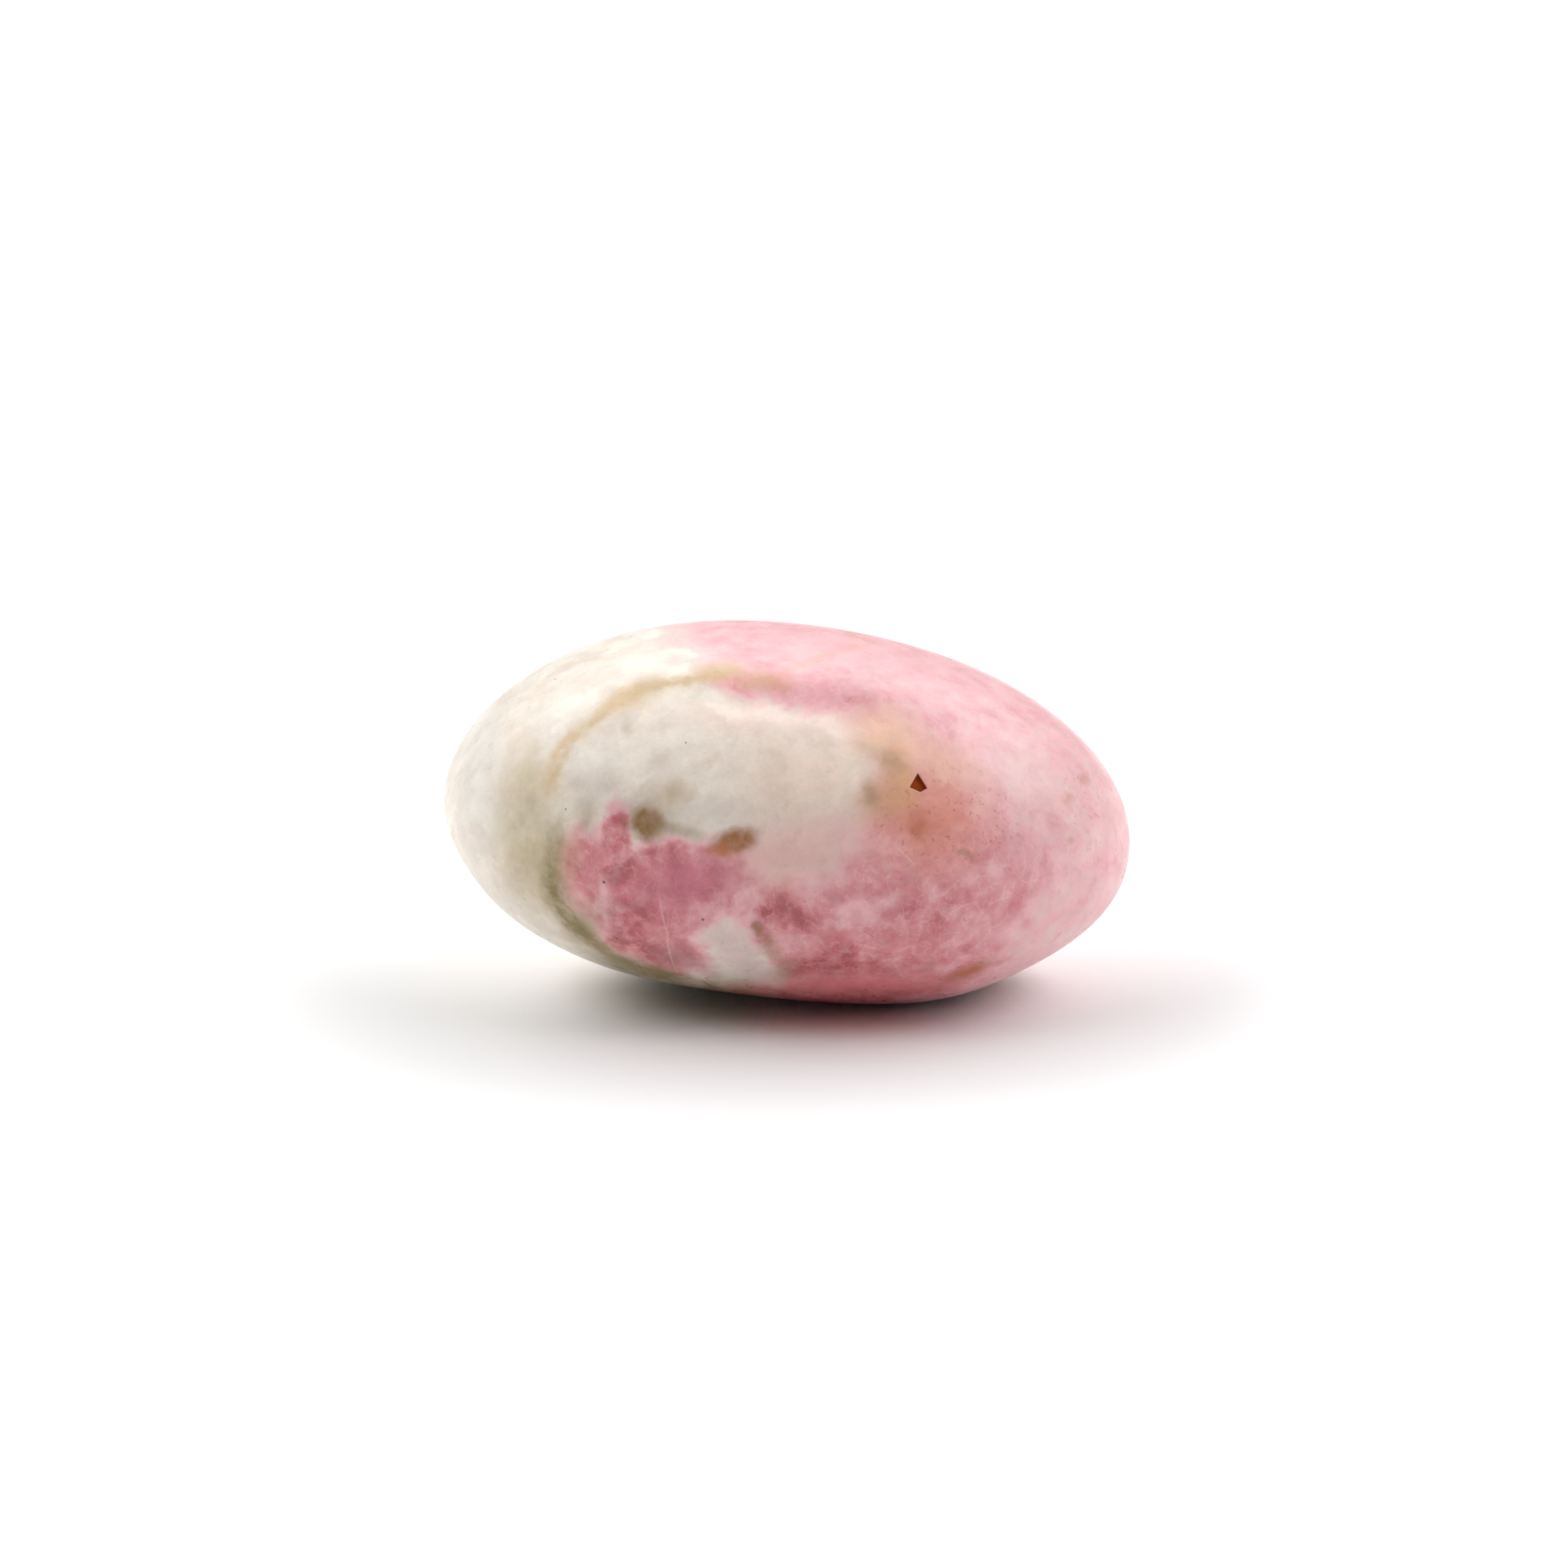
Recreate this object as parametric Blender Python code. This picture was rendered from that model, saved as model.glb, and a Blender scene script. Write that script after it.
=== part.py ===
"""A tumbled and polished tugtupite pebble, modelled as one solid.

The form is an ellipsoid whose right end is tipped down. Soft flats are ground onto it, a long hollow
and two swellings follow, and a small kite-shaped pit is sunk in its front. Underneath is the small
worn flat on which the stone rests.

Metres, +Z up, +X along the stone to the right, -Y towards the front. The origin is under the middle
of the stone, on the surface that it rests on. The driving dimensions are in millimetres and degrees.
"""
import math

import bmesh
import bpy
import numpy as np

MM = 0.001
NODE = "tugtupite_stone"

# The ellipsoid, before anything is ground off it
HALF_LENGTH = 15.15
HALF_WIDTH = 10.4
HALF_HEIGHT = 8.35
TIP_DOWN = 6.5

# How sharply the flats meet the ellipsoid and each other: higher is sharper
GRIND_SHARPNESS = 26

# Where each flat faces and how deep it is ground: azimuth, elevation, depth.
# Azimuth 0 is the front, 90 the right end, 180 the back and -90 the left end.
FLATS = {
    "front": (-2, -5, 0.9),
    "front low": (0, -47, 0.7),
    "left shoulder": (-80, 64, 0.3),
    "upper left": (-78, 38, 0.3),
    "top": (5, 80, 0.25),
    "right heel": (70, -56, 0.2),
    "left heel": (-25, -72, 0.4),
    "base": (0, -90, 0.5),
    "back": (175, 6, 1.1),
    "back left": (-140, 28, 0.5),
    "back right": (132, -16, 0.6),
    "upper back": (160, 52, 0.5),
}

# Soft hollows (negative) and swellings: azimuth, elevation, height, half width, half height, roll
RELIEF = {
    "upper front hollow": (-4, 47, -0.4, 5.0, 1.3, -5),
    "low left swelling": (-86, -19, 0.22, 4.5, 2.5, 0),
    "low right swelling": (84, -23, 0.25, 4.5, 2.5, 0),
}
RELIEF_REACH = 6.0

# The worn flat underneath lies this far below the middle of the ellipsoid
BASE_BELOW_MIDDLE = 7.72

# The pit: where it is, how deep, how much its floor narrows, and its kite-shaped mouth
PIT_AZIMUTH = 33.7
PIT_ELEVATION = 20.2
PIT_DEPTH = 0.16
PIT_FLOOR_SCALE = 0.8
PIT_CUTTER_RISE = 0.3
PIT_MOUTH = ((0.10, 0.45), (-0.40, -0.14), (0.02, -0.40), (0.36, -0.26))

SUBDIVISIONS = 5
SMOOTH_ANGLE = 25

STONE_COLOUR = (0.72, 0.47, 0.43, 1.0)
STONE_ROUGHNESS = 0.22


def clear_scene():
    for obj in list(bpy.data.objects):
        bpy.data.objects.remove(obj)


def direction(azimuth, elevation):
    """The unit vector from the middle of the stone at these two angles."""
    a = math.radians(azimuth)
    e = math.radians(elevation)
    return np.array((math.sin(a) * math.cos(e), -math.cos(a) * math.cos(e), math.sin(e)))


def tip(points, degrees):
    """Turn points about Y so that the +X end goes down."""
    a = math.radians(degrees)
    x, y, z = points[..., 0], points[..., 1], points[..., 2]
    return np.stack((x * math.cos(a) + z * math.sin(a), y, z * math.cos(a) - x * math.sin(a)), -1)


def ground_form(rays):
    """The point on the ground ellipsoid along each unit ray from its middle, in millimetres."""
    half_sizes = np.array((HALF_LENGTH, HALF_WIDTH, HALF_HEIGHT))
    total = ((tip(rays, -TIP_DOWN) / half_sizes) ** 2).sum(-1) ** (GRIND_SHARPNESS / 2)
    for azimuth, elevation, depth in FLATS.values():
        normal = direction(azimuth, elevation)
        reach = np.linalg.norm(tip(normal, -TIP_DOWN) * half_sizes) - depth
        total = total + np.clip(rays @ normal / reach, 0, None) ** GRIND_SHARPNESS
    return rays * (total ** (-1 / GRIND_SHARPNESS))[..., None]


def tangent_axes(normal):
    """The level and the upward axis of the plane that faces along the normal."""
    right = np.cross((0.0, 0.0, 1.0), normal)
    right /= np.linalg.norm(right)
    return right, np.cross(normal, right)


def stone_surface(rays):
    """The ground form with its hollows and swellings, in millimetres from the ellipsoid's middle."""
    points = ground_form(rays)
    for azimuth, elevation, height, half_width, half_height, roll in RELIEF.values():
        outward = direction(azimuth, elevation)
        right, up = tangent_axes(outward)
        offset = points - ground_form(outward)
        c, s = math.cos(math.radians(roll)), math.sin(math.radians(roll))
        across = offset @ (right * c + up * s) / half_width
        along = offset @ (up * c - right * s) / half_height
        through = offset @ outward / RELIEF_REACH
        fade = np.exp(-across ** 2 - along ** 2 - through ** 2)
        points = points + outward * (height * fade)[..., None]
    return points


def stone_mesh():
    """The pebble, its box centred on the origin and cut flat at the level that it rests on."""
    bm = bmesh.new()
    bmesh.ops.create_icosphere(bm, subdivisions=SUBDIVISIONS, radius=1.0)
    sphere = np.array([vert.co[:] for vert in bm.verts])
    rays = tip(sphere * (HALF_LENGTH, HALF_WIDTH, HALF_HEIGHT), TIP_DOWN)
    rays /= np.linalg.norm(rays, axis=1)[:, None]
    points = stone_surface(rays)
    middle = (points.max(0) + points.min(0)) / 2
    shift = np.array((-middle[0], -middle[1], BASE_BELOW_MIDDLE))
    for vert, point in zip(bm.verts, (points + shift) * MM):
        vert.co = point
    whole = bm.verts[:] + bm.edges[:] + bm.faces[:]
    bmesh.ops.bisect_plane(bm, geom=whole, plane_co=(0, 0, 0), plane_no=(0, 0, 1), clear_inner=True)
    rim = [edge for edge in bm.edges if edge.is_boundary]
    bmesh.ops.holes_fill(bm, edges=rim, sides=0)
    bmesh.ops.recalc_face_normals(bm, faces=bm.faces[:])
    mesh = bpy.data.meshes.new(NODE)
    bm.to_mesh(mesh)
    bm.free()
    mesh.shade_smooth()
    mesh.set_sharp_from_angle(angle=math.radians(SMOOTH_ANGLE))
    return mesh, shift


def pit_cutter(shift):
    """The tapered kite-shaped tool that sinks the pit square to the surface."""
    ray = direction(PIT_AZIMUTH, PIT_ELEVATION)
    place = stone_surface(ray)
    side, rise = tangent_axes(ray)
    step = 0.01
    beside = [stone_surface((ray + way * step) / np.linalg.norm(ray + way * step)) for way in (side, rise)]
    inward = np.cross(beside[1] - place, beside[0] - place)
    inward /= np.linalg.norm(inward)
    right, up = tangent_axes(-inward)
    bm = bmesh.new()
    rings = []
    for depth, scale in ((-PIT_CUTTER_RISE, 1.0), (0.0, 1.0), (PIT_DEPTH, PIT_FLOOR_SCALE)):
        middle = place + shift + inward * depth
        ring = [bm.verts.new((middle + (right * x + up * y) * scale) * MM) for x, y in PIT_MOUTH]
        rings.append(ring)
    for upper, lower in zip(rings, rings[1:]):
        for i in range(len(PIT_MOUTH)):
            bm.faces.new((upper[i - 1], upper[i], lower[i], lower[i - 1]))
    bm.faces.new(rings[0])
    bm.faces.new(rings[-1])
    bmesh.ops.recalc_face_normals(bm, faces=bm.faces[:])
    mesh = bpy.data.meshes.new("pit_cutter")
    bm.to_mesh(mesh)
    bm.free()
    cutter = bpy.data.objects.new("pit_cutter", mesh)
    cutter.hide_render = True
    cutter.display_type = "WIRE"
    return cutter


def stone_material():
    material = bpy.data.materials.new("polished_tugtupite")
    material.use_nodes = True
    shader = material.node_tree.nodes["Principled BSDF"]
    shader.inputs["Base Color"].default_value = STONE_COLOUR
    shader.inputs["Roughness"].default_value = STONE_ROUGHNESS
    shader.inputs["Metallic"].default_value = 0.0
    return material


def main():
    clear_scene()
    mesh, shift = stone_mesh()
    mesh.materials.append(stone_material())
    stone = bpy.data.objects.new(NODE, mesh)
    bpy.context.collection.objects.link(stone)
    cutter = pit_cutter(shift)
    bpy.context.collection.objects.link(cutter)
    pit = stone.modifiers.new("pit", "BOOLEAN")
    pit.operation = "DIFFERENCE"
    pit.solver = "EXACT"
    pit.object = cutter


main()
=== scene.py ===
import math

import bmesh
import bpy
import numpy as np
from mathutils import Matrix, Vector
from mathutils.bvhtree import BVHTree


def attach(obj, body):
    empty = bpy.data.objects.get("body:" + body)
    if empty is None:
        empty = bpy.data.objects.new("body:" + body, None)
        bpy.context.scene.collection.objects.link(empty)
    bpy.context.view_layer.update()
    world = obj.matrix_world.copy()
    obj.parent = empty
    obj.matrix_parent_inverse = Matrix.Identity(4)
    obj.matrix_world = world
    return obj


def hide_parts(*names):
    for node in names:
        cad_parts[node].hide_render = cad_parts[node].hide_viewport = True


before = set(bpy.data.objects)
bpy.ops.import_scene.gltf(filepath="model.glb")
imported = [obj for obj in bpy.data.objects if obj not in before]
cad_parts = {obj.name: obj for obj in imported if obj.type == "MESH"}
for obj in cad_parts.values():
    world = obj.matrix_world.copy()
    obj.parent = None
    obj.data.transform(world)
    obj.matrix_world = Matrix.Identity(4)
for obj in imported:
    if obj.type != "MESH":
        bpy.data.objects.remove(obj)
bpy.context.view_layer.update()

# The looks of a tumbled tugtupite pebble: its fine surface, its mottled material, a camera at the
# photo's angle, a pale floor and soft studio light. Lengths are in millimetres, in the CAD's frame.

MM = 0.001
NODE = "tugtupite_stone"

# The ground form, the same as in the part's source. Each flat has its azimuth, elevation and depth,
# and each hollow or swelling its azimuth, elevation, height, half width, half height and roll.
HALF_SIZES = np.array((15.15, 10.4, 8.35))
TIP_DOWN = 6.5
GRIND_SHARPNESS = 26
FLATS = {
    "front": (-2, -5, 0.9),
    "front low": (0, -47, 0.7),
    "left shoulder": (-80, 64, 0.3),
    "upper left": (-78, 38, 0.3),
    "top": (5, 80, 0.25),
    "right heel": (70, -56, 0.2),
    "left heel": (-25, -72, 0.4),
    "base": (0, -90, 0.5),
    "back": (175, 6, 1.1),
    "back left": (-140, 28, 0.5),
    "back right": (132, -16, 0.6),
    "upper back": (160, 52, 0.5),
}
RELIEF = {
    "upper front hollow": (-4, 47, -0.4, 5.0, 1.3, -5),
    "low left swelling": (-86, -19, 0.22, 4.5, 2.5, 0),
    "low right swelling": (84, -23, 0.25, 4.5, 2.5, 0),
}
RELIEF_REACH = 6.0
BASE_BELOW_MIDDLE = 7.72
PIT_AZIMUTH = 33.7
PIT_ELEVATION = 20.2
PIT_DEPTH = 0.16
PIT_MOUTH = ((0.10, 0.45), (-0.40, -0.14), (0.02, -0.40), (0.36, -0.26))

# The camera: its height angle, distance, aim point and lens, and how near to it the picture starts
CAMERA_ELEVATION = 15.0
CAMERA_DISTANCE = 190.8
CAMERA_AIM = (-0.13, 0.0, 9.12)
LENS = 100.0
SENSOR = 36.0
CLIP_START = 10.0

# The width of the photo in pixels, and how many of them a millimetre of the stone's front takes up
PHOTO_SIZE = 1932
PIXELS_PER_MM = 29.0

# How far apart the rays are that give the slope of the surface
SLOPE_STEP = 0.01


def direction(azimuth, elevation):
    """The unit vector from the middle of the stone: azimuth 0 faces the front, 90 the right end."""
    a = math.radians(azimuth)
    e = math.radians(elevation)
    return np.array((math.sin(a) * math.cos(e), -math.cos(a) * math.cos(e), math.sin(e)))


def tip(points, degrees):
    """Turn points about Y so that the +X end goes down."""
    a = math.radians(degrees)
    x, y, z = points[..., 0], points[..., 1], points[..., 2]
    return np.stack((x * math.cos(a) + z * math.sin(a), y, z * math.cos(a) - x * math.sin(a)), -1)


def ground_form(rays):
    """The point on the ground ellipsoid along each unit ray from its middle."""
    total = ((tip(rays, -TIP_DOWN) / HALF_SIZES) ** 2).sum(-1) ** (GRIND_SHARPNESS / 2)
    for azimuth, elevation, depth in FLATS.values():
        normal = direction(azimuth, elevation)
        reach = np.linalg.norm(tip(normal, -TIP_DOWN) * HALF_SIZES) - depth
        total = total + np.clip(rays @ normal / reach, 0, None) ** GRIND_SHARPNESS
    return rays * (total ** (-1 / GRIND_SHARPNESS))[..., None]


def tangent_axes(normal):
    """The level and the upward axis of the plane that faces along the normal."""
    right = np.cross((0.0, 0.0, 1.0), normal)
    right /= np.linalg.norm(right)
    return right, np.cross(normal, right)


def stone_surface(rays):
    """The ground form with its hollows and swellings, from the ellipsoid's middle."""
    points = ground_form(rays)
    for azimuth, elevation, height, half_width, half_height, roll in RELIEF.values():
        outward = direction(azimuth, elevation)
        right, up = tangent_axes(outward)
        offset = points - ground_form(outward)
        c, s = math.cos(math.radians(roll)), math.sin(math.radians(roll))
        across = offset @ (right * c + up * s) / half_width
        along = offset @ (up * c - right * s) / half_height
        through = offset @ outward / RELIEF_REACH
        fade = np.exp(-across ** 2 - along ** 2 - through ** 2)
        points = points + outward * (height * fade)[..., None]
    return points


def surface_frame(ray):
    """The surface point along a ray, with its level, upward and outward axes."""
    place = stone_surface(ray)
    near = []
    for way in tangent_axes(ray):
        beside = ray + way * SLOPE_STEP
        near.append(stone_surface(beside / np.linalg.norm(beside)))
    outward = np.cross(near[0] - place, near[1] - place)
    outward /= np.linalg.norm(outward)
    right, up = tangent_axes(outward)
    return place, right, up, outward


def smooth_step(value):
    value = np.clip(value, 0, 1)
    return value * value * (3 - 2 * value)


def outline_sides(corners):
    """Each side of an outline: the unit direction that points inside, and a corner on the side."""
    for (ax, ay), (bx, by) in zip(corners, corners[1:] + corners[:1]):
        length = math.hypot(bx - ax, by - ay)
        yield ((ay - by) / length, (bx - ax) / length), (ax, ay)


# The fine mesh: how often the sphere is split, how far around the pit it is split again, measured on
# the unit sphere, and how many times
FINE_SUBDIVISIONS = 7
PIT_MESH_REACH = 0.14
PIT_MESH_ROUNDS = 2

# The width of the pit's sides, and how far from the surface there its shape and colour reach
PIT_EDGE = 0.07
PIT_REACH = 1.0


def refine_near(bm, ray, reach, rounds):
    """Split the faces of the unit sphere near a ray, where a small feature needs them."""
    for _ in range(rounds):
        near = [face for face in bm.faces if (face.calc_center_median() - ray).length < reach]
        edges = list({edge for face in near for edge in face.edges})
        bmesh.ops.subdivide_edges(bm, edges=edges, cuts=1, use_grid_fill=True)
        bmesh.ops.triangulate(bm, faces=[face for face in bm.faces if len(face.verts) > 3])


def build_stone():
    """The fine surface of the pebble as one closed mesh, and the place and turn of its pit."""
    bm = bmesh.new()
    bmesh.ops.create_icosphere(bm, subdivisions=FINE_SUBDIVISIONS, radius=1.0)
    pit_ray = direction(PIT_AZIMUTH, PIT_ELEVATION)
    on_sphere = tip(pit_ray, -TIP_DOWN) / HALF_SIZES
    on_sphere /= np.linalg.norm(on_sphere)
    refine_near(bm, Vector(on_sphere), PIT_MESH_REACH, PIT_MESH_ROUNDS)
    sphere = np.array([vert.co[:] for vert in bm.verts])
    rays = tip(sphere * HALF_SIZES, TIP_DOWN)
    rays /= np.linalg.norm(rays, axis=1)[:, None]
    points = stone_surface(rays)
    middle = (points.max(0) + points.min(0)) / 2
    shift = np.array((-middle[0], -middle[1], BASE_BELOW_MIDDLE))
    place, right, up, outward = surface_frame(pit_ray)
    offset = points - place
    inside = np.min([(offset @ right - x) * inx + (offset @ up - y) * iny
                     for (inx, iny), (x, y) in outline_sides(PIT_MOUTH)], axis=0)
    sunk = PIT_DEPTH * smooth_step(inside / PIT_EDGE) * (np.abs(offset @ outward) < PIT_REACH)
    points = points - outward * sunk[:, None] + shift
    points[:, 2] = np.maximum(points[:, 2], 0)
    for vert, point in zip(bm.verts, points * MM):
        vert.co = point
    bmesh.ops.recalc_face_normals(bm, faces=bm.faces[:])
    mesh = bpy.data.meshes.new("polished_pebble")
    bm.to_mesh(mesh)
    bm.free()
    mesh.shade_smooth()
    stone = bpy.data.objects.new("polished_pebble", mesh)
    bpy.context.collection.objects.link(stone)
    return stone, (Vector(place + shift), Matrix((right, up, outward)).transposed())


def add_camera():
    """The camera in front of the stone, looking a little down on it."""
    aim = Vector(CAMERA_AIM) * MM
    away = Vector(direction(0, CAMERA_ELEVATION)) * CAMERA_DISTANCE * MM
    data = bpy.data.cameras.new("photo_camera")
    data.lens = LENS
    data.sensor_width = SENSOR
    data.clip_start = CLIP_START * MM
    camera = bpy.data.objects.new("photo_camera", data)
    camera.location = aim + away
    camera.rotation_euler = (-away).to_track_quat("-Z", "Y").to_euler()
    bpy.context.collection.objects.link(camera)
    bpy.context.scene.camera = camera
    return camera


# Linear colours of the stone
CREAM = (0.89, 0.81, 0.71)
WHITE = (1.00, 0.90, 0.79)
END_WHITE = (0.87, 0.83, 0.77)
COOL_WHITE = (0.80, 0.70, 0.62)
CLOUD_SHADE = (0.94, 0.92, 0.90)
# Grey-white of a patch low on the front, made greyer still as painted shade where the front turns down
SHADED_ASH_WHITE = (0.80, 0.65, 0.61)
BEIGE = (0.98, 0.78, 0.66)
CREAM_PINK = (0.85, 0.67, 0.60)
DUSTY_PINK = (0.77, 0.50, 0.44)
DUSTY_ROSE = (0.76, 0.43, 0.46)
LILAC = (0.60, 0.36, 0.37)
PALE_PINK = (0.90, 0.66, 0.62)
PINK = (0.91, 0.50, 0.53)
ROSE = (0.77, 0.305, 0.33)
RED_ROSE = (0.65, 0.195, 0.22)
DEEP_ROSE = (0.48, 0.12, 0.135)
MAGENTA = (0.67, 0.205, 0.28)
# The red of the low front edge, lightened as painted glow of light shining through the stone
GLOWING_RED = (0.96, 0.30, 0.31)
SALMON = (0.83, 0.32, 0.23)
PEACH = (0.88, 0.56, 0.40)
TAN = (0.72, 0.40, 0.21)
OCHRE = (0.70, 0.50, 0.28)
STRAW = (0.70, 0.59, 0.39)
DARK_STRAW = (0.51, 0.41, 0.22)
OLIVE = (0.24, 0.175, 0.06)
OLIVE_BROWN = (0.29, 0.15, 0.045)
BROWN = (0.36, 0.13, 0.03)
RED_BROWN = (0.50, 0.15, 0.06)
DARK = (0.06, 0.04, 0.03)
PIT_FLOOR = (0.40, 0.065, 0.006)
# The pit's red-brown darkened: painted shade on the pit's sloping walls
PIT_WALL_SHADE = (0.16, 0.02, 0.003)

# How cream turns to rose as the pinkness goes from 0 to 1
PINK_RAMP = (
    (0.0, CREAM),
    (0.25, PALE_PINK),
    (0.5, PINK),
    (0.72, ROSE),
    (0.87, RED_ROSE),
    (1.0, DEEP_ROSE),
)

# All round the stone the pinkness rises between these two places along X, to that of the pink side
PINK_SIDE_FROM = 1.5
PINK_SIDE_FULL = 6.0
PINK_SIDE = 0.49

# Fields of pinkness on the hidden sides, each painted over those before it: azimuth, elevation,
# then in millimetres half width and half height, roll, softness of the edge, pinkness
HIDDEN_PINKNESS = (
    (18, -60, 5.0, 2.8, 10, 0.40, 0.90),
    (125, -38, 5.0, 2.6, 0, 0.60, 0.10),
    (85, -52, 4.0, 2.6, 0, 0.60, 0.12),
    (150, 0, 4.5, 3.0, 15, 0.40, 0.86),
    (175, 35, 5.0, 2.5, -10, 0.50, 0.62),
    (-160, -10, 3.5, 2.6, 20, 0.35, 0.78),
    (100, 25, 2.5, 2.0, 0, 0.60, 0.40),
)

# The same on the front, placed and measured in pixels of the photo: x, y, half width, half height,
# roll, softness, pinkness
FRONT_PINKNESS = (
    (1080, 800, 270, 110, -12, 0.25, 0.53),
    (1010, 800, 70, 16, -4, 0.60, 0.46),
    (1160, 880, 80, 40, -25, 0.70, 0.53),
    (995, 848, 66, 26, -5, 0.60, 0.58),
    (915, 835, 40, 18, -8, 0.60, 0.56),
    (1055, 845, 30, 20, 0, 0.60, 0.60),
    (825, 950, 118, 60, -8, 0.60, 0.03),
    (955, 962, 105, 46, -3, 1.00, 0.08),
    (1125, 1128, 166, 98, 4, 0.45, 0.74),
    (1150, 1000, 72, 72, 0, 0.60, 0.66),
    (1235, 1000, 36, 80, 12, 0.70, 0.53),
    (1335, 1000, 34, 60, 0, 0.80, 0.43),
    (1300, 1140, 70, 60, 20, 0.60, 0.44),
    (1215, 1110, 45, 70, 0, 0.70, 0.64),
    (1052, 1122, 34, 16, 5, 0.70, 0.48),
    (1060, 1165, 50, 22, 0, 0.70, 0.70),
    (1130, 1105, 60, 40, 0, 0.70, 0.74),
    (955, 1124, 46, 38, -20, 0.80, 0.92),
    (1020, 1190, 60, 26, 0, 0.60, 0.86),
    (1060, 1226, 110, 22, 3, 0.60, 0.88),
    (975, 1046, 62, 34, 15, 1.00, 0.36),
    (790, 1098, 94, 62, 0, 0.28, 0.82),
    (755, 1034, 26, 48, -8, 0.45, 0.82),
    (872, 1084, 60, 42, 12, 0.45, 0.86),
    (928, 1098, 30, 10, 40, 0.90, 0.46),
    (830, 1170, 44, 30, -20, 0.60, 0.74),
    (778, 1134, 34, 24, -20, 0.70, 1.02),
    (796, 1166, 56, 24, -16, 0.50, 0.90),
    (775, 1163, 24, 7, -8, 0.70, 1.00),
    (757, 1074, 28, 14, 10, 0.70, 1.04),
    (742, 1116, 10, 34, 20, 0.80, 0.50),
    (712, 1075, 18, 46, 0, 0.70, 0.82),
    (902, 1169, 36, 17, -44, 0.60, 0.18),
    (936, 1196, 28, 14, -30, 0.60, 0.18),
    (866, 1128, 20, 12, 0, 0.70, 0.62),
)

# Stains on the hidden sides, placed and measured as above, with softness, strength and colour
HIDDEN_STAINS = (
    (-45, -56, 3.6, 2.0, 20, 0.60, 0.80, OLIVE),
    (-150, 10, 1.8, 3.0, 10, 0.70, 0.45, STRAW),
    (168, 20, 2.4, 1.6, 0, 0.60, 0.50, TAN),
)

# Stains on the front, in pixels of the photo
FRONT_STAINS = (
    (850, 908, 74, 30, -4, 0.80, 0.85, WHITE),
    (762, 932, 44, 26, 20, 0.80, 0.60, WHITE),
    (905, 968, 60, 22, -5, 0.80, 0.70, WHITE),
    (630, 948, 40, 56, 10, 0.90, 0.60, WHITE),
    (590, 935, 22, 80, 0, 0.90, 0.70, END_WHITE),
    (726, 968, 34, 20, 10, 0.80, 0.80, COOL_WHITE),
    (905, 1008, 52, 20, 5, 0.90, 0.60, COOL_WHITE),
    (815, 935, 30, 9, 20, 0.90, 0.40, COOL_WHITE),
    (1000, 960, 80, 42, 0, 0.90, 0.85, BEIGE),
    (932, 889, 100, 17, -6, 0.90, 0.80, CREAM_PINK),
    (980, 1050, 66, 34, 15, 0.90, 0.90, DUSTY_PINK),
    (1110, 805, 200, 46, -12, 0.80, 0.50, DUSTY_ROSE),
    (655, 958, 24, 34, 10, 0.90, 0.80, STRAW),
    (652, 1056, 34, 72, 12, 0.90, 0.75, DARK_STRAW),
    (778, 858, 32, 16, 25, 0.90, 0.80, OCHRE),
    (884, 828, 28, 12, 10, 0.90, 0.80, OCHRE),
    (940, 840, 32, 11, -5, 0.90, 0.60, TAN),
    (748, 1120, 10, 34, 20, 0.90, 0.40, LILAC),
    (850, 1085, 62, 30, 15, 0.90, 0.60, MAGENTA),
    (845, 1184, 36, 16, -25, 0.90, 0.50, LILAC),
    (1257, 955, 50, 36, -30, 0.90, 0.40, PALE_PINK),
    # Painted glow: the stone's red at the low front edge made brighter, where light shines through
    (1050, 1214, 100, 13, 0, 0.80, 0.80, GLOWING_RED),
    (1150, 1005, 62, 60, 0, 0.80, 0.75, SALMON),
    (1087, 903, 42, 30, 0, 0.80, 0.85, PEACH),
    (1152, 935, 52, 22, -20, 0.80, 0.55, PEACH),
    (1108, 950, 20, 34, 20, 0.80, 0.80, TAN),
    (1092, 985, 34, 24, 20, 0.80, 0.70, TAN),
    (1100, 938, 13, 15, 30, 0.90, 0.30, OLIVE),
    (1076, 925, 22, 8, -25, 0.90, 0.20, OLIVE),
    (1072, 977, 9, 16, 10, 0.90, 0.45, OLIVE_BROWN),
    (828, 980, 20, 16, 30, 0.80, 0.60, STRAW),
    # A grey-white patch of the stone, darkened further as painted shade of the low front
    (905, 1171, 35, 17, -43, 0.60, 0.85, SHADED_ASH_WHITE),
    (936, 1197, 28, 13, -28, 0.70, 0.80, SHADED_ASH_WHITE),
    (718, 1140, 18, 30, -38, 0.90, 0.60, OLIVE),
    (790, 1197, 66, 15, -18, 0.70, 0.95, OLIVE),
)

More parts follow.
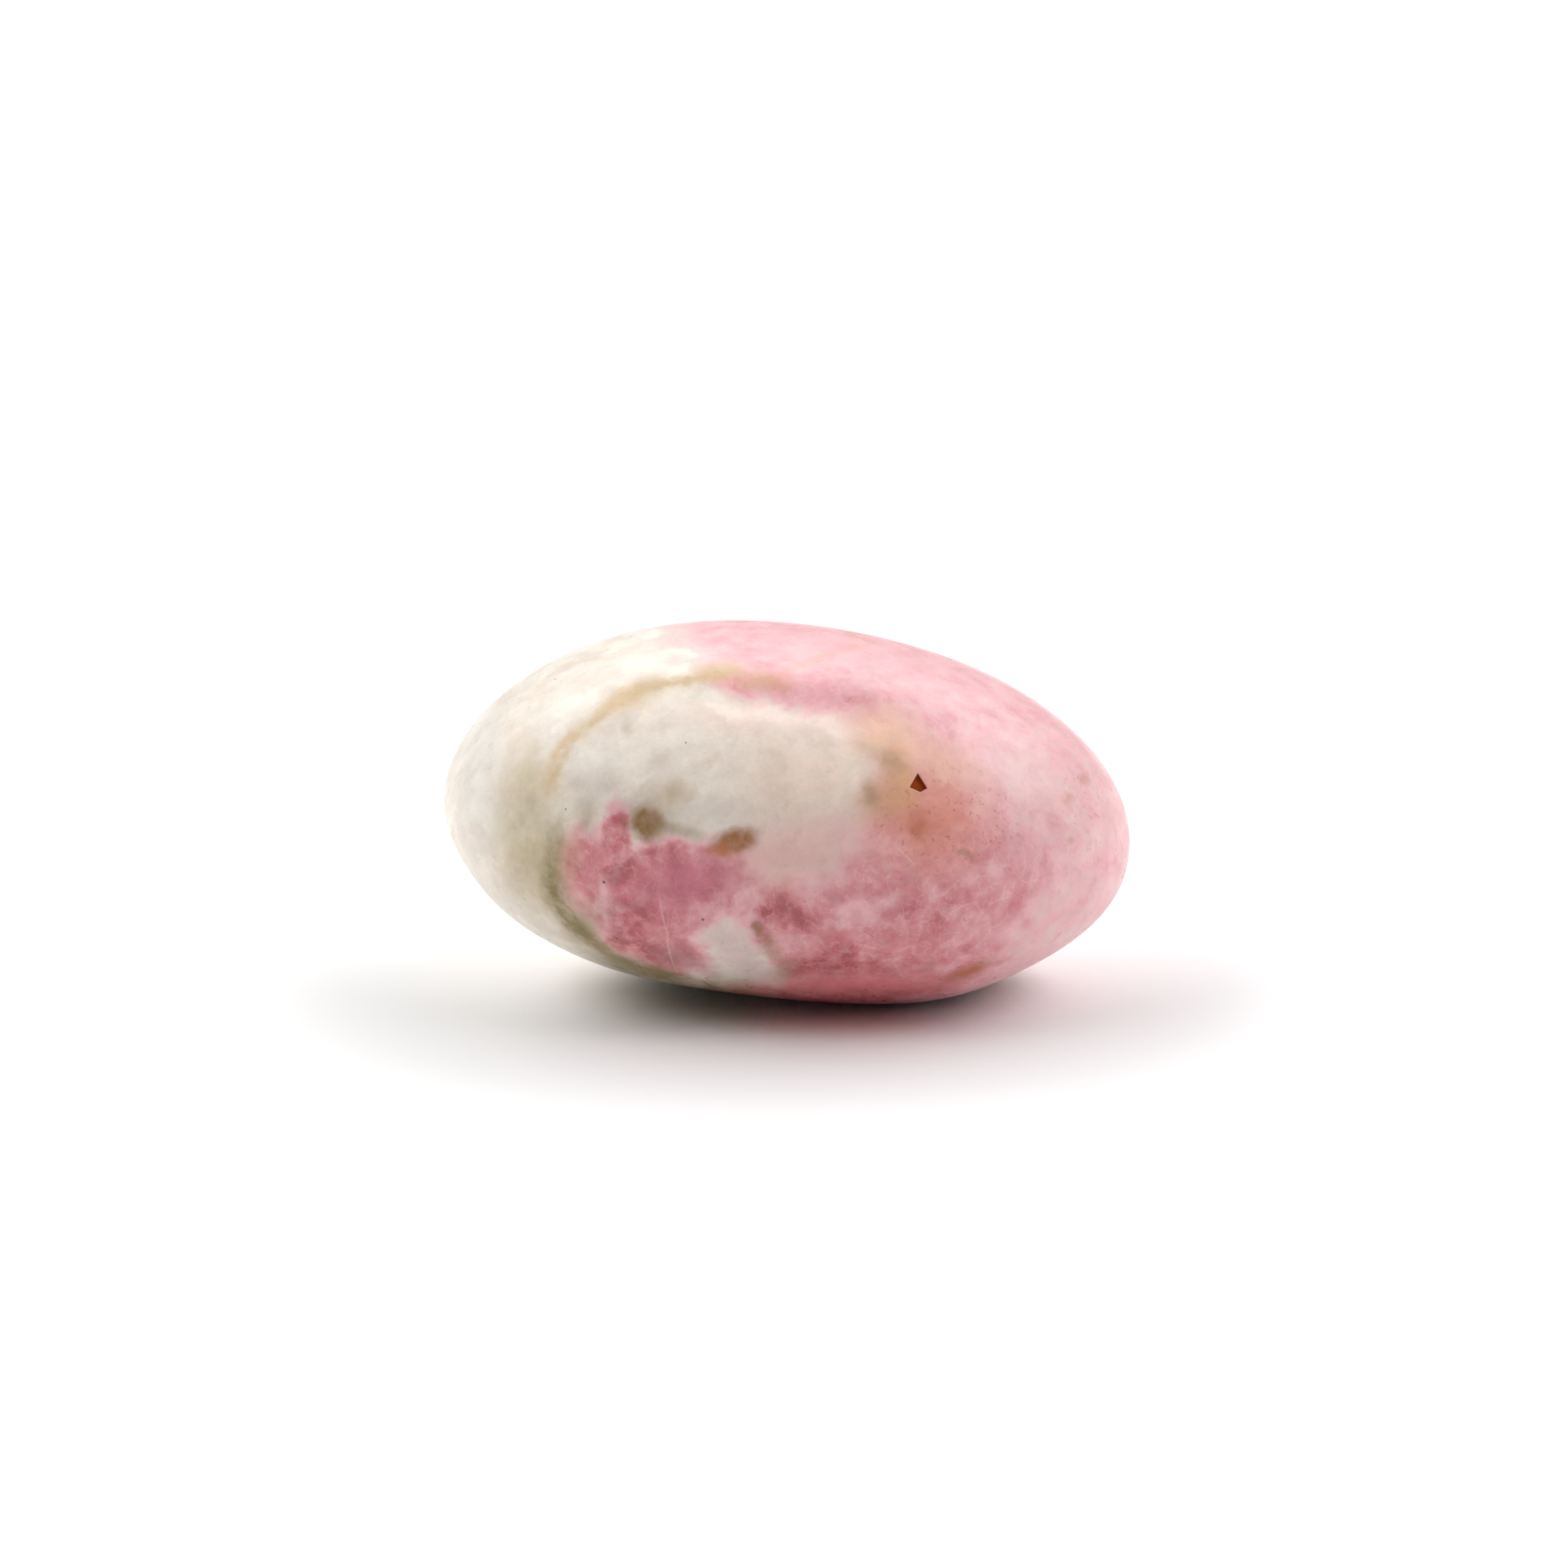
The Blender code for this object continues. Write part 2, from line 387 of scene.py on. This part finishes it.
# Small spots with smoother edges, in the same two ways
HIDDEN_SPOTS = (
    (158, 8, 0.8, 0.6, 20, 0.50, 0.80, OLIVE_BROWN),
    (-172, -4, 0.7, 0.5, 0, 0.50, 0.80, BROWN),
)
FRONT_SPOTS = (
    (800, 1004, 30, 24, 15, 0.90, 0.40, OLIVE_BROWN),
    (797, 1015, 22, 19, -60, 0.45, 0.95, OLIVE_BROWN),
    (838, 1023, 26, 7, -14, 0.90, 0.50, OLIVE),
    (722, 1008, 10, 22, 0, 0.90, 0.40, OLIVE),
    (906, 1036, 27, 15, 15, 0.45, 0.95, BROWN),
    (889, 1048, 17, 9, 0, 0.80, 0.80, RED_BROWN),
    (773, 896, 7, 10, 10, 0.90, 0.25, OLIVE),
    (948, 1165, 10, 30, 35, 0.90, 0.50, OLIVE_BROWN),
    (968, 1197, 16, 11, 0, 0.90, 0.50, OLIVE_BROWN),
    (933, 1143, 6, 8, 0, 0.80, 0.70, OLIVE_BROWN),
    (1193, 1197, 30, 8, 25, 0.80, 0.90, RED_BROWN),
    (1132, 1018, 11, 15, 0, 0.80, 0.55, RED_BROWN),
    (1190, 1053, 13, 5, -30, 0.80, 0.45, OLIVE_BROWN),
    (1336, 960, 7, 8, 0, 0.80, 0.40, RED_BROWN),
    (1318, 985, 6, 8, 0, 0.80, 0.35, RED_BROWN),
    (1319, 1036, 5, 5, 0, 0.80, 0.35, RED_BROWN),
)

# Veins: half width in pixels, softness, strength, colour and their course in pixels of the photo
OCHRE_COURSE = ((886, 829), (857, 837), (827, 841), (804, 844), (785, 850), (768, 861),
                (748, 873), (732, 889), (715, 903), (700, 911), (690, 927), (684, 943), (680, 960))
OLIVE_COURSE = ((686, 1030), (684, 1045), (682, 1062), (680, 1085), (686, 1110), (700, 1131),
                (719, 1151), (738, 1166), (760, 1181), (790, 1193), (830, 1203))
TAN_COURSE = ((925, 842), (960, 832), (1000, 815), (1035, 803), (1062, 795))
FRONT_VEINS = (
    (16.0, 0.90, 0.35, OCHRE, OCHRE_COURSE),
    (8.0, 0.90, 0.80, OCHRE, OCHRE_COURSE[:10]),
    (9.0, 0.90, 0.85, OCHRE, OCHRE_COURSE[9:]),
    (24.0, 0.90, 0.55, DARK_STRAW, OLIVE_COURSE[:8]),
    (9.0, 0.90, 0.55, OLIVE, OLIVE_COURSE[:4]),
    (15.0, 0.90, 0.85, OLIVE, OLIVE_COURSE[3:7]),
    (13.0, 0.90, 0.85, OLIVE, OLIVE_COURSE[6:]),
    (6.0, 0.90, 0.32, TAN, TAN_COURSE),
    (4.0, 0.90, 0.30, OCHRE, ((684, 822), (705, 817), (740, 812))),
)

# Veins on the hidden sides: half width in millimetres, and the course by heading
UPPER_BACK_COURSE = ((87, 64), (110, 70), (140, 66), (165, 50))
UNDER_COURSE = ((-29, -42), (-42, -56), (-75, -68), (-130, -60), (-150, -35), (-155, -10))
BACK_COURSE = ((-155, -10), (-158, 15), (-165, 35), (-150, 60))
HIDDEN_VEINS = (
    (0.16, 0.80, 0.50, TAN, UPPER_BACK_COURSE),
    (0.30, 0.80, 0.60, OLIVE, UNDER_COURSE),
    (0.22, 0.80, 0.55, OCHRE, BACK_COURSE),
)

# Fine marks on the front, in pixels of the photo: dark specks as x, y and radius, a dark line of painted
# shade where a small groove runs at the bottom edge, and pale hairlines
SPECKS = ((744, 1087, 1.8), (866, 1133, 1.6), (684, 837, 1.4), (697, 997, 1.0), (845, 915, 1.0))
# The course of a dark line of painted shade along a small groove
CREASE_SHADE_COURSE = ((868, 1210), (877, 1215), (886, 1217))
HAIRLINES = (
    ((1107, 1046), (1115, 1053), (1123, 1062)),
    ((1174, 1123), (1184, 1117), (1194, 1114)),
    ((815, 1120), (822, 1150), (830, 1188)),
)
SPECK_SOFTNESS = 0.5
SPECK_STRENGTH = 0.85

# The half width in pixels, the softness and the strength of the crease's painted shade and of a hairline
CREASE_SHADE_LINE = (1.2, 0.6, 0.8)
HAIRLINE = (1.0, 0.8, 0.4)

# Where red-brown freckles are scattered, in pixels of the photo: x, y, half width, half height and
# strength. Then the softness of these zones, and the noise between which a freckle starts.
FRECKLE_ZONES = ((1165, 1010, 95, 60, 0.50), (1335, 985, 40, 70, 0.30), (960, 1140, 45, 50, 0.35))
FRECKLE_SOFTNESS = 0.5
FRECKLE_EDGE = (0.60, 0.70)

# How far a mark reaches into the stone: millimetres, and a share of its larger half size
MARK_DEPTH = 1.5
MARK_DEPTH_SHARE = 1.5

# A stretch of a vein: its half length as a share of the distance that it spans, and how far it
# reaches into the stone, in millimetres and as a share of its half width
VEIN_HALF_LENGTH = 0.7
VEIN_DEPTH = 0.5
VEIN_DEPTH_SHARE = 4

# How noise moves the spaces that the marks are painted in: cells per millimetre, detail, and the
# swing in millimetres
CALM_WAVER = (2.4, 3, 0.35)
RAGGED_WAVER = (1.8, 3, 0.6)
WIDE_WAVER = (0.45, 3, 2.0)

# The noises of the stone: cells per millimetre, detail and, where it isn't a half, roughness
GRAIN_NOISE = (8.0, 3, 0.6)
PATCH_NOISE = (2.0, 4, 0.6)
BREAK_NOISE = (2.2, 4, 0.6)
SHADE_NOISE = (0.9, 5, 0.6)
BLUSH_NOISE = (1.2, 4)
WISP_NOISE = (1.3, 2)
DRIFT_NOISE = (0.7, 3)
PUFF_NOISE = (0.8, 3)
LILAC_NOISE = (0.9, 3)
CLOUD_NOISE = (0.7, 4, 0.6)
FRECKLE_NOISE = (4.5, 2)
POLISH_NOISE = (1.5, 3)
RIPPLE_NOISE = (1.2, 1)

# The usual range of a noise and its middle, and what some noises give at the ends of that range
NOISE_RANGE = (0.3, 0.7)
NOISE_MIDDLE = 0.5
PATCH_STRENGTH = (0.80, 1.1)
BREAK_STRENGTH = (0.65, 1.15)
SHADE = (0.93, 1.04)

# The factor and the offset by which a noise changes the shade or the pinkness
GRAIN_SHADE = (0.16, 0.92)
GRAIN_PINKNESS = (0.28, 0.86)
BLUSH_PINKNESS = (1.0, 0.50)
DRIFT_PINKNESS = (0.30, -0.15)

# Pale wisps in the pink: their half width in noise, and how much of the pinkness they leave
WISP_HALF_WIDTH = 0.04
WISP_PINKNESS = 0.86

# Between which pinkness the stone stops being pale, and between which lilac clouds set in
PALE_RANGE = (0.10, 0.40)
LILAC_RANGE = (0.55, 0.75)

# The edges of the puffs and the clouds in noise, and how strong they are
PUFF_EDGE = (0.50, 0.66)
CLOUD_EDGE = (0.44, 0.66)
PUFF_STRENGTH = 0.8
LILAC_STRENGTH = 0.40

# How much the polished surface reflects, its roughness at the best and the worst polished places,
# and the height and strength of the fine ripples that the tumbling leaves
POLISH = 0.38
SMOOTHEST = 0.27
DULLEST = 0.38
RIPPLE = 0.004
RIPPLE_STRENGTH = 0.5

# Half the width of the line round the pit's mouth over which its colour starts, and how much the
# dull inside of the pit reflects
PIT_LINE = 0.02
PIT_POLISH = 0.05


class Places:
    """Finds points of the stone, by the photo's pixels or by their heading from its middle."""

    def __init__(self, stone, camera):
        mesh = stone.data
        self.surface = BVHTree.FromPolygons([vert.co for vert in mesh.vertices],
                                            [face.vertices for face in mesh.polygons])
        self.camera = camera.location.copy()
        self.view = camera.rotation_euler.to_matrix()
        self.middle = Vector((0, 0, BASE_BELOW_MIDDLE)) * MM

    def at_pixel(self, x, y):
        """The point at a pixel of the photo, in millimetres, and the turn that faces the camera."""
        focal = LENS / SENSOR * PHOTO_SIZE
        ray = self.view @ Vector((x - PHOTO_SIZE / 2, PHOTO_SIZE / 2 - y, -focal)).normalized()
        return self.surface.ray_cast(self.camera, ray)[0] / MM, self.view

    def at_heading(self, azimuth, elevation):
        """The point in a direction from the middle, in millimetres, and the turn that faces it."""
        outward = Vector(direction(azimuth, elevation))
        lean = Matrix.Rotation(math.radians(90 - elevation), 3, "X")
        turn = Matrix.Rotation(math.radians(azimuth), 3, "Z") @ lean
        return self.surface.ray_cast(self.middle, outward)[0] / MM, turn

    def marks(self, hidden, front):
        """Each row of the two tables as a place, a turn, two half sizes in millimetres and the rest."""
        for azimuth, elevation, half_width, half_height, roll, *rest in hidden:
            place, turn = self.at_heading(azimuth, elevation)
            yield place, rolled(turn, roll), half_width, half_height, *rest
        for x, y, half_width, half_height, roll, *rest in front:
            place, turn = self.at_pixel(x, y)
            yield place, rolled(turn, roll), half_width / PIXELS_PER_MM, half_height / PIXELS_PER_MM, *rest

    def course(self, pixels):
        return [self.at_pixel(x, y)[0] for x, y in pixels]


class Coat:
    """Adds shader nodes to a node tree. Each call gives the socket that holds its result.

    Sockets go by name, or by number on the nodes that have several of one name.
    """

    def __init__(self, tree):
        self.tree = tree

    def add(self, kind, inputs, output=0, **settings):
        node = self.tree.nodes.new("ShaderNode" + kind)
        for name, value in settings.items():
            setattr(node, name, value)
        for name, value in inputs.items():
            if isinstance(value, bpy.types.NodeSocket):
                self.tree.links.new(value, node.inputs[name])
            else:
                node.inputs[name].default_value = value
        return node.outputs[output]

    def calculate(self, operation, first, second):
        return self.add("Math", {0: first, 1: second}, operation=operation)

    def scaled(self, value, factor, offset):
        return self.add("Math", {0: value, 1: factor, 2: offset}, operation="MULTIPLY_ADD")

    def noise(self, space, scale, detail, roughness=0.5, output=0):
        settings = {"Vector": space, "Scale": scale, "Detail": detail, "Roughness": roughness}
        return self.add("TexNoise", settings, output=output)

    def waver(self, space, source, scale, detail, size):
        """A space whose points are moved about by noise."""
        swing = self.noise(source, scale, detail, output=1)
        centred = self.add("VectorMath", {0: swing, 1: (NOISE_MIDDLE,) * 3}, operation="SUBTRACT")
        terms = {0: centred, 1: (size,) * 3, 2: space}
        return self.add("VectorMath", terms, operation="MULTIPLY_ADD")

    def fade(self, value, low, high, at_low, at_high):
        limits = {"Value": value, "From Min": low, "From Max": high, "To Min": at_low, "To Max": at_high}
        return self.add("MapRange", limits, interpolation_type="SMOOTHSTEP")

    def blend(self, amount, below, above, mode="MIX"):
        """One colour over another."""
        return self.add("Mix", {0: amount, 6: below, 7: above}, output=2, data_type="RGBA", blend_type=mode)

    def ellipsoid(self, space, place, turn, half_sizes, softness):
        """How deep a point is in an ellipsoid that is enlarged by its soft edge: 1 at its middle."""
        node = self.tree.nodes.new("ShaderNodeTexGradient")
        node.gradient_type = "SPHERICAL"
        node.texture_mapping.vector_type = "TEXTURE"
        node.texture_mapping.translation = place
        node.texture_mapping.rotation = turn.to_euler()
        node.texture_mapping.scale = [size * (1 + softness) for size in half_sizes]
        self.tree.links.new(space, node.inputs[0])
        return node.outputs[1]

    def soft_edge(self, depth, softness, strength):
        """The strength inside the ellipsoids, fading to 0 over their soft edge."""
        return self.fade(depth, 0.0, 2 * softness / (1 + softness), 0.0, strength)

    def spot(self, space, place, turn, half_sizes, softness, strength):
        return self.soft_edge(self.ellipsoid(space, place, turn, half_sizes, softness), softness, strength)

    def vein(self, space, course, half_width, softness, strength):
        """The strength along a line of points on the stone, fading across it."""
        depth = None
        middle = Vector((0, 0, BASE_BELOW_MIDDLE))
        for start, end in zip(course, course[1:]):
            place = (start + end) / 2
            along = (end - start).normalized()
            across = (place - middle).cross(along).normalized()
            turn = Matrix((along, across, along.cross(across))).transposed()
            half_length = VEIN_HALF_LENGTH * (end - start).length + half_width
            half_depth = VEIN_DEPTH_SHARE * half_width + VEIN_DEPTH
            part = self.ellipsoid(space, place, turn, (half_length, half_width, half_depth), softness)
            depth = part if depth is None else self.calculate("MAXIMUM", depth, part)
        return self.soft_edge(depth, softness, strength)

    def ramp(self, value, stops):
        node = self.tree.nodes.new("ShaderNodeValToRGB")
        self.tree.links.new(value, node.inputs[0])
        elements = node.color_ramp.elements
        for index, (position, colour) in enumerate(stops):
            element = elements[index] if index < 2 else elements.new(position)
            element.position = position
            element.color = opaque(colour)
        return node.outputs[0]


def opaque(colour):
    return (*colour, 1.0)


def rolled(turn, degrees):
    return turn @ Matrix.Rotation(math.radians(degrees), 3, "Z")


def mark_box(half_width, half_height):
    """The half sizes of a mark: it goes deep enough to show whole on a slanting surface."""
    return half_width, half_height, MARK_DEPTH + MARK_DEPTH_SHARE * max(half_width, half_height)


def paint_pinkness(coat, places, space):
    """How pink the stone is at each point."""
    along = coat.add("SeparateXYZ", {0: space})
    pinkness = coat.fade(along, PINK_SIDE_FROM, PINK_SIDE_FULL, 0.0, PINK_SIDE)
    for place, turn, width, height, softness, value in places.marks(HIDDEN_PINKNESS, FRONT_PINKNESS):
        inside = coat.spot(space, place, turn, mark_box(width, height), softness, 1.0)
        pinkness = coat.add("Mix", {0: inside, 2: pinkness, 3: value}, data_type="FLOAT")
    return pinkness


def mottle_pinkness(coat, mm, space, pinkness, grain):
    """Clouds, pale wisps and fine grain in the pink."""
    blush = coat.scaled(coat.noise(mm, *BLUSH_NOISE), *BLUSH_PINKNESS)
    pinkness = coat.calculate("MULTIPLY", pinkness, blush)
    pinkness = coat.calculate("MULTIPLY", pinkness, coat.scaled(grain, *GRAIN_PINKNESS))
    wisps = coat.scaled(coat.noise(space, *WISP_NOISE), 1.0, -NOISE_MIDDLE)
    off_wisp = coat.add("Math", {0: wisps}, operation="ABSOLUTE")
    left_pink = coat.fade(off_wisp, 0.0, WISP_HALF_WIDTH, WISP_PINKNESS, 1.0)
    pinkness = coat.calculate("MULTIPLY", pinkness, left_pink)
    return coat.calculate("ADD", pinkness, coat.scaled(coat.noise(mm, *DRIFT_NOISE), *DRIFT_PINKNESS))


def cloud_colour(coat, space, pinkness, pale, colour):
    """White puffs where the stone is pale, and lilac clouds where it is pink."""
    puffs = coat.fade(coat.noise(space, *PUFF_NOISE), *PUFF_EDGE, 0.0, PUFF_STRENGTH)
    colour = coat.blend(coat.calculate("MULTIPLY", puffs, pale), colour, opaque(WHITE))
    pink = coat.fade(pinkness, *LILAC_RANGE, 0.0, 1.0)
    lilac = coat.fade(coat.noise(space, *LILAC_NOISE), *PUFF_EDGE, 0.0, LILAC_STRENGTH)
    return coat.blend(coat.calculate("MULTIPLY", lilac, pink), colour, opaque(LILAC))


def shade_pale(coat, space, pale, colour):
    """Faint beige clouds in the pale stone."""
    clouds = coat.fade(coat.noise(space, *CLOUD_NOISE), *CLOUD_EDGE, 0.0, 1.0)
    amount = coat.calculate("MULTIPLY", clouds, pale)
    return coat.blend(amount, colour, opaque(CLOUD_SHADE), mode="MULTIPLY")


def paint_stains(coat, marks, space, patchiness, colour):
    """Each mark's own colour, laid on with its softness and strength."""
    for place, turn, width, height, softness, strength, stain in marks:
        inside = coat.spot(space, place, turn, mark_box(width, height), softness, strength)
        inside = coat.calculate("MULTIPLY", inside, patchiness)
        colour = coat.blend(inside, colour, opaque(stain))
    return colour


def paint_veins(coat, places, space, patchiness, colour):
    """The veins of the hidden sides, and then those of the front."""
    veins =[(half_width, *rest, [places.at_heading(*point)[0] for point in course])
             for half_width, *rest, course in HIDDEN_VEINS]
    veins += [(half_width / PIXELS_PER_MM, *rest, places.course(course))
              for half_width, *rest, course in FRONT_VEINS]
    for half_width, softness, strength, stain, course in veins:
        inside = coat.vein(space, course, half_width, softness, strength)
        inside = coat.calculate("MULTIPLY", inside, patchiness)
        colour = coat.blend(inside, colour, opaque(stain))
    return colour


def fine_line(coat, places, mm, pixels, half_width, softness, strength):
    """A line on the front, its course and its half width in pixels of the photo."""
    return coat.vein(mm, places.course(pixels), half_width / PIXELS_PER_MM, softness, strength)


def paint_fine_marks(coat, places, mm, colour):
    """Freckles, specks, hairlines and painted shade along the crease."""
    dots = coat.fade(coat.noise(mm, *FRECKLE_NOISE), *FRECKLE_EDGE, 0.0, 1.0)
    for x, y, half_width, half_height, strength in FRECKLE_ZONES:
        place, turn = places.at_pixel(x, y)
        sizes = mark_box(half_width / PIXELS_PER_MM, half_height / PIXELS_PER_MM)
        zone = coat.spot(mm, place, turn, sizes, FRECKLE_SOFTNESS, strength)
        colour = coat.blend(coat.calculate("MULTIPLY", dots, zone), colour, opaque(RED_BROWN))
    for x, y, radius in SPECKS:
        place, turn = places.at_pixel(x, y)
        sizes = (radius / PIXELS_PER_MM,) * 3
        inside = coat.spot(mm, place, turn, sizes, SPECK_SOFTNESS, SPECK_STRENGTH)
        colour = coat.blend(inside, colour, opaque(DARK))
    for pixels in HAIRLINES:
        inside = fine_line(coat, places, mm, pixels, *HAIRLINE)
        colour = coat.blend(inside, colour, opaque(PALE_PINK))
    # Painted shade: a dark line where a small groove at the bottom edge would lie in shadow
    return coat.blend(fine_line(coat, places, mm, CREASE_SHADE_COURSE, *CREASE_SHADE_LINE), colour, opaque(DARK))


def in_pit(coat, mm, pit):
    """How far inside the mouth of the pit a point is, in millimetres, down to the pit's reach."""
    place, turn = pit
    local = coat.add("Mapping", {"Vector": mm, "Location": place, "Rotation": turn.to_euler()},
                     vector_type="TEXTURE")
    inside = coat.calculate("ADD", coat.add("SeparateXYZ", {0: local}, output="Z"), PIT_REACH)
    for (inx, iny), (x, y) in outline_sides(PIT_MOUTH):
        terms = {0: local, 1: (inx, iny, 0.0)}
        far = coat.add("VectorMath", terms, output="Value", operation="DOT_PRODUCT")
        far = coat.calculate("SUBTRACT", far, x * inx + y * iny)
        inside = coat.calculate("MINIMUM", inside, far)
    return inside


def paint_pit(coat, inside, colour):
    """The red-brown floor of the pit, with painted shade on its sloping walls just inside the mouth."""
    # Painted shade: the walls inside the mouth get a darker copy of the floor's colour
    off_shaded_wall = coat.fade(inside, PIT_LINE, PIT_EDGE, 0.0, 1.0)
    brown = coat.blend(off_shaded_wall, opaque(PIT_WALL_SHADE), opaque(PIT_FLOOR))
    return coat.blend(coat.fade(inside, -PIT_LINE, PIT_LINE, 0.0, 1.0), colour, brown)


def stone_material(places, pit):
    """Mottled pink and cream mineral with olive veins, under a soft polish."""
    material = bpy.data.materials.new("mottled_tugtupite")
    material.use_nodes = True
    coat = Coat(material.node_tree)
    shader = coat.tree.nodes["Principled BSDF"]
    metres = coat.add("TexCoord", {}, output="Object")
    mm = coat.add("VectorMath", {0: metres, "Scale": 1 / MM}, operation="SCALE")
    calm = coat.waver(mm, mm, *CALM_WAVER)
    ragged = coat.waver(mm, mm, *RAGGED_WAVER)
    wavy = coat.waver(ragged, mm, *WIDE_WAVER)
    grain = coat.noise(mm, *GRAIN_NOISE)
    patchiness = coat.fade(coat.noise(mm, *PATCH_NOISE), *NOISE_RANGE, *PATCH_STRENGTH)

    pinkness = paint_pinkness(coat, places, wavy)
    pinkness = mottle_pinkness(coat, mm, ragged, pinkness, grain)
    colour = coat.ramp(pinkness, PINK_RAMP)
    pale = coat.fade(pinkness, *PALE_RANGE, 1.0, 0.0)
    colour = cloud_colour(coat, ragged, pinkness, pale, colour)
    colour = paint_stains(coat, places.marks(HIDDEN_STAINS, FRONT_STAINS), ragged, patchiness, colour)
    colour = shade_pale(coat, ragged, pale, colour)
    broken = coat.fade(coat.noise(mm, *BREAK_NOISE), *NOISE_RANGE, *BREAK_STRENGTH)
    colour = paint_veins(coat, places, ragged, broken, colour)
    colour = paint_stains(coat, places.marks(HIDDEN_SPOTS, FRONT_SPOTS), calm, patchiness, colour)
    shade = coat.fade(coat.noise(ragged, *SHADE_NOISE), *NOISE_RANGE, *SHADE)
    shade = coat.calculate("MULTIPLY", shade, coat.scaled(grain, *GRAIN_SHADE))
    colour = coat.blend(1.0, colour, shade, mode="MULTIPLY")
    colour = paint_fine_marks(coat, places, mm, colour)
    inside_pit = in_pit(coat, mm, pit)
    colour = paint_pit(coat, inside_pit, colour)
    coat.tree.links.new(colour, shader.inputs["Base Color"])
    polish = coat.fade(inside_pit, -PIT_LINE, PIT_LINE, POLISH, PIT_POLISH)
    coat.tree.links.new(polish, shader.inputs["Specular IOR Level"])
    roughness = coat.fade(coat.noise(mm, *POLISH_NOISE), *NOISE_RANGE, SMOOTHEST, DULLEST)
    coat.tree.links.new(roughness, shader.inputs["Roughness"])
    height = coat.noise(mm, *RIPPLE_NOISE)
    ripple = coat.add("Bump", {"Height": height, "Strength": RIPPLE_STRENGTH, "Distance": RIPPLE * MM})
    coat.tree.links.new(ripple, shader.inputs["Normal"])
    return material


# The floor: its colour, and half the length of its sides
FLOOR_COLOUR = (0.90, 0.90, 0.90)
FLOOR_HALF = 3000.0

# The light tent: its walls, and a ring of light between two elevations that is brighter at the sides
TENT_LIGHT = 0.48
RING_LIGHT = 1.65
RING_SIDE_LIGHT = 3.35
RING_FROM = 33
RING_TO = 58
RING_SOFTNESS = 7

# The tent's opening in front: its elevation, and how far from its middle it is dark and where it ends
OPENING_ELEVATION = 17
OPENING_FULL = 46
OPENING_EDGE = 63


def floor_material():
    """Plain and quite matt."""
    material = bpy.data.materials.new("pale_floor")
    material.use_nodes = True
    shader = material.node_tree.nodes["Principled BSDF"]
    shader.inputs["Base Color"].default_value = opaque(FLOOR_COLOUR)
    shader.inputs["Roughness"].default_value = 1.0
    shader.inputs["Specular IOR Level"].default_value = 0.0
    return material


def add_floor():
    """A wide pale floor that fills the picture behind the stone."""
    mesh = bpy.data.meshes.new("floor")
    half = FLOOR_HALF * MM
    corners = [(-half, -half, 0), (half, -half, 0), (half, half, 0), (-half, half, 0)]
    mesh.from_pydata(corners, [], [(0, 1, 2, 3)])
    mesh.materials.append(floor_material())
    floor = bpy.data.objects.new("floor", mesh)
    bpy.context.collection.objects.link(floor)


def add_world():
    """A white light tent: a ring of light, brightest at the sides, and a dark opening in front."""
    world = bpy.data.worlds.new("light_tent")
    world.use_nodes = True
    tent = Coat(world.node_tree)
    heading = tent.add("TexCoord", {}, output="Generated")
    across = tent.add("SeparateXYZ", {0: heading}, output="X")
    height = tent.add("SeparateXYZ", {0: heading}, output="Z")

    def rise(elevation):
        low, high = (math.sin(math.radians(elevation + turn)) for turn in (-RING_SOFTNESS, RING_SOFTNESS))
        return tent.fade(height, low, high, 0.0, 1.0)

    ring = tent.calculate("SUBTRACT", rise(RING_FROM), rise(RING_TO))
    sideways = tent.add("Math", {0: across}, operation="ABSOLUTE")
    ring_light = tent.scaled(sideways, RING_SIDE_LIGHT, RING_LIGHT)
    light = tent.add("Math", {0: ring, 1: ring_light, 2: TENT_LIGHT}, operation="MULTIPLY_ADD")
    opening = tuple(direction(0, OPENING_ELEVATION))
    facing = tent.add("VectorMath", {0: heading, 1: opening}, output="Value", operation="DOT_PRODUCT")
    edge, full = (math.cos(math.radians(angle)) for angle in (OPENING_EDGE, OPENING_FULL))
    light = tent.calculate("MULTIPLY", light, tent.fade(facing, edge, full, 1.0, 0.0))
    background = world.node_tree.nodes["Background"]
    background.inputs["Color"].default_value = (1.0, 1.0, 1.0, 1.0)
    world.node_tree.links.new(light, background.inputs["Strength"])
    bpy.context.scene.world = world


stone, pit = build_stone()
camera = add_camera()
stone.data.materials.append(stone_material(Places(stone, camera), pit))
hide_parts(NODE)
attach(stone, "root")
add_floor()
add_world()
bpy.context.scene.view_settings.view_transform = "Standard"
